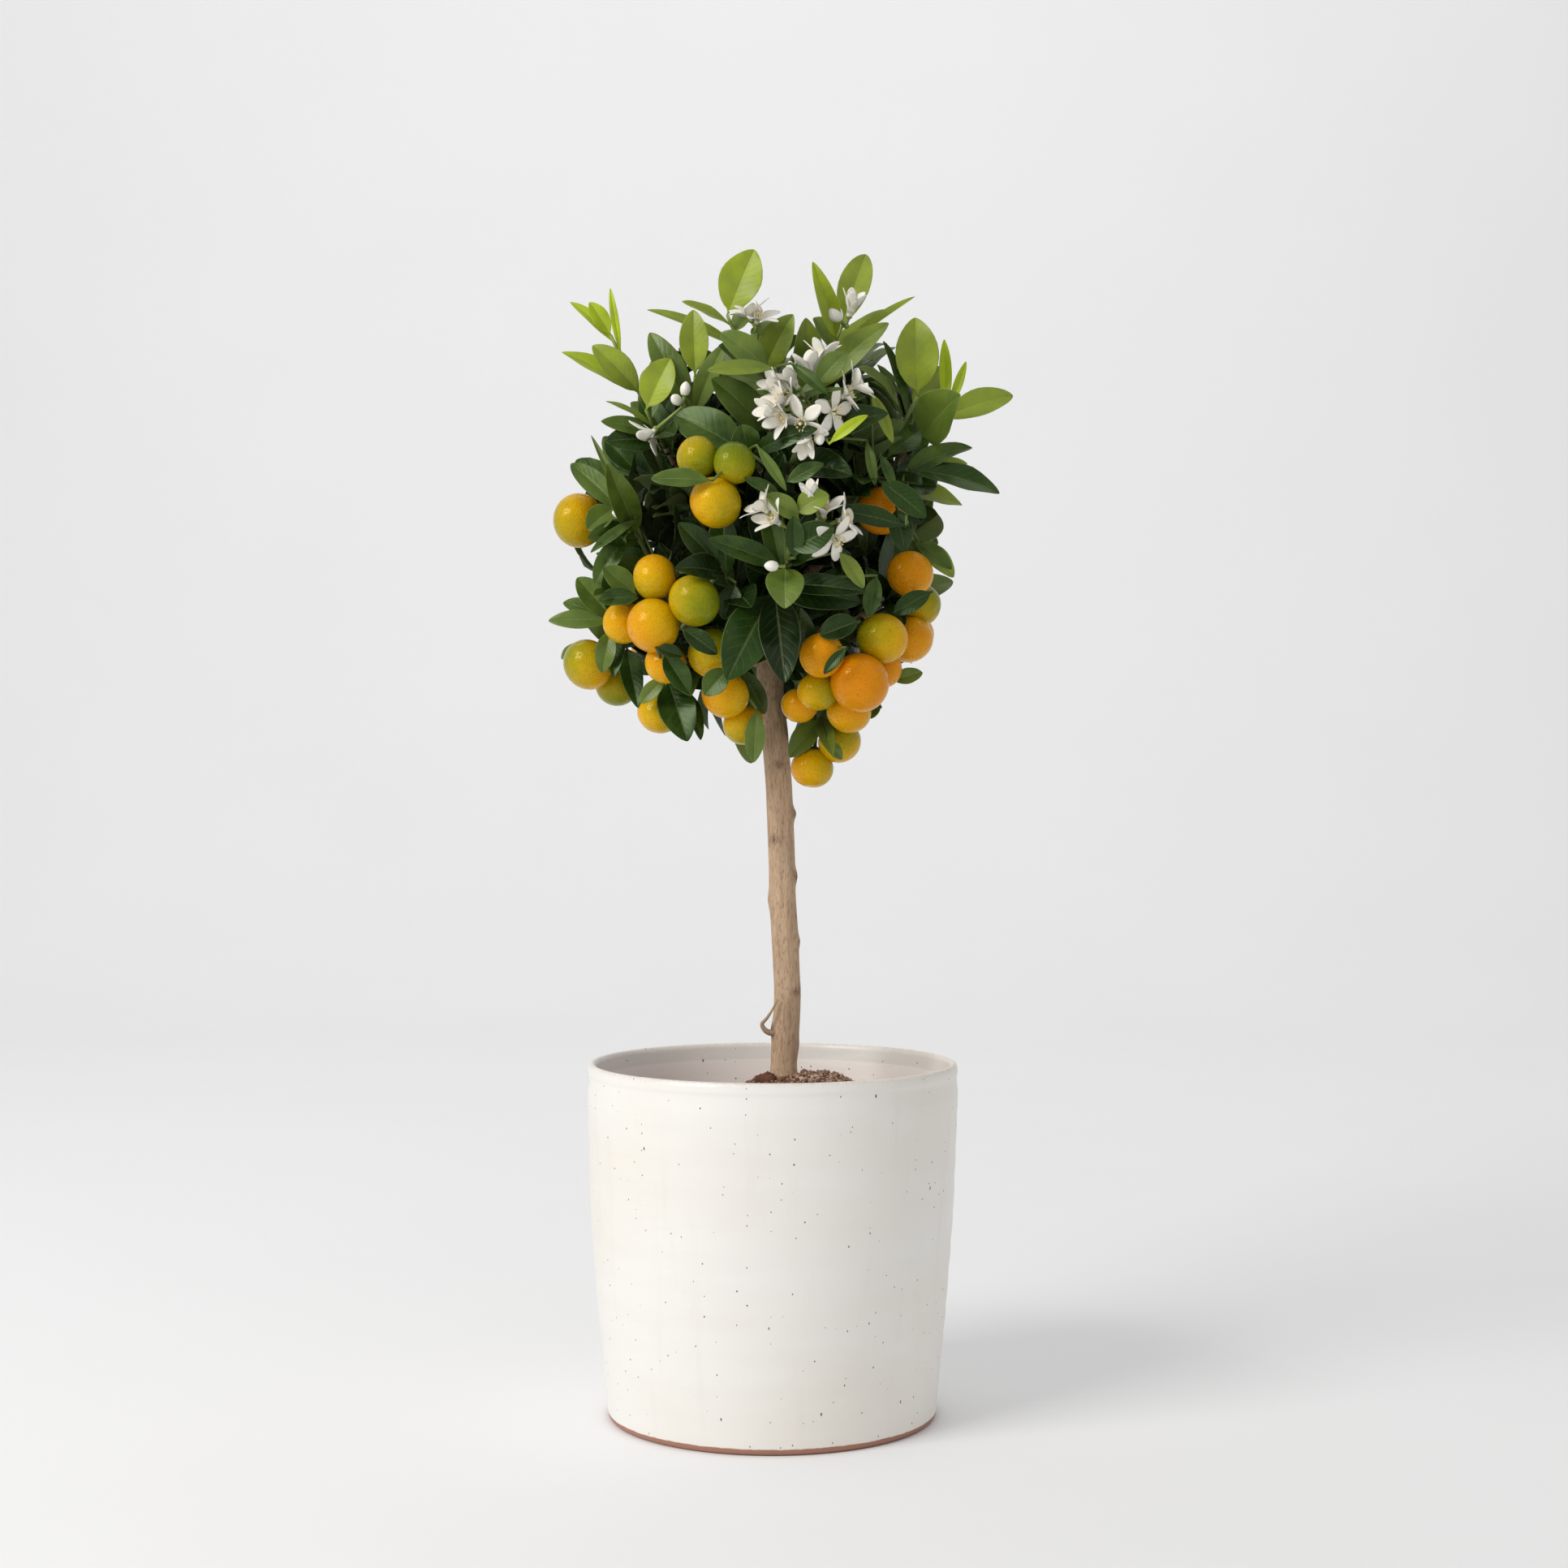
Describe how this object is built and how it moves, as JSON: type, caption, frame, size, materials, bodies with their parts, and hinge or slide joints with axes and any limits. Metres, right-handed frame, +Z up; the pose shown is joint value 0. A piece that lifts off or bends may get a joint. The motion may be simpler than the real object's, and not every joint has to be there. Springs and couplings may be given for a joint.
{
  "type": "potted calamondin tree",
  "caption": "Small standard citrus tree in a round white glazed pot: bare stem, rounded glossy crown, clusters of ripening fruit and white blossom.",
  "frame": {"origin": "centre of the pot's flat underside, where it rests", "axes": "+Z up along the pot and stem, -Y towards the side that the picture shows, +X to its right"},
  "size_m": [0.2892, 0.2532, 0.732],
  "materials": {
    "pot_glaze": "satin",
    "soil": "matte",
    "bark": "matte",
    "leaf": "satin",
    "young_leaf": "satin",
    "fruit_green": "satin",
    "fruit_yellow": "satin",
    "fruit_orange": "satin",
    "petal": "matte"
  },
  "bodies": {
    "root": {"pot": "pot_glaze", "soil": "soil", "trunk_and_limbs": "bark", "shoot_top_tall": "young_leaf", "shoot_top_bloom": "young_leaf", "shoot_right_bloom": "young_leaf", "shoot_right_tall": "young_leaf", "shoot_right_young": "young_leaf", "shoot_right_wide": "leaf", "shoot_left_young": "young_leaf", "shoot_left_spray": "leaf", "shoot_upper_left": "young_leaf", "shoot_upper_mid": "young_leaf", "shoot_front_left": "leaf", "shoot_big_bloom": "leaf", "shoot_left_mid": "leaf", "shoot_centre_left": "leaf", "shoot_centre_bloom": "leaf", "shoot_left_low": "leaf", "shoot_lower_left": "leaf", "shoot_bottom_left": "leaf", "shoot_bottom_mid": "leaf", "shoot_right_upper": "leaf", "shoot_right_side": "leaf", "shoot_right_low": "leaf", "shoot_low_right": "leaf", "shoot_bottom_right": "leaf", "shoot_right_far": "leaf", "shoot_back_top": "young_leaf", "shoot_back_left_up": "young_leaf", "shoot_back_right_up": "young_leaf", "shoot_back_mid": "leaf", "shoot_back_left_low": "leaf", "shoot_back_right_low": "leaf", "shoot_back_low": "leaf", "fruit_upper": "fruit_green", "fruit_far_left": "fruit_yellow", "fruit_left": "fruit_yellow", "fruit_low_left": "fruit_green", "fruit_bottom_left": "fruit_yellow", "fruit_bottom_mid": "fruit_yellow", "fruit_upper_right": "fruit_orange", "fruit_right": "fruit_orange", "fruit_low_right": "fruit_orange", "fruit_bottom_right": "fruit_green", "fruit_back_left": "fruit_yellow", "fruit_back_mid": "fruit_yellow", "fruit_back_right": "fruit_orange", "fruit_back_low": "fruit_yellow", "bloom_top": "petal", "bloom_top_right": "petal", "bloom_centre": "petal", "bloom_low_left": "petal", "bloom_low_right": "petal", "bloom_bud_left": "petal", "bloom_bud_side": "petal", "bloom_bud_centre": "petal", "bloom_back": "petal"}
  },
  "joints": []
}
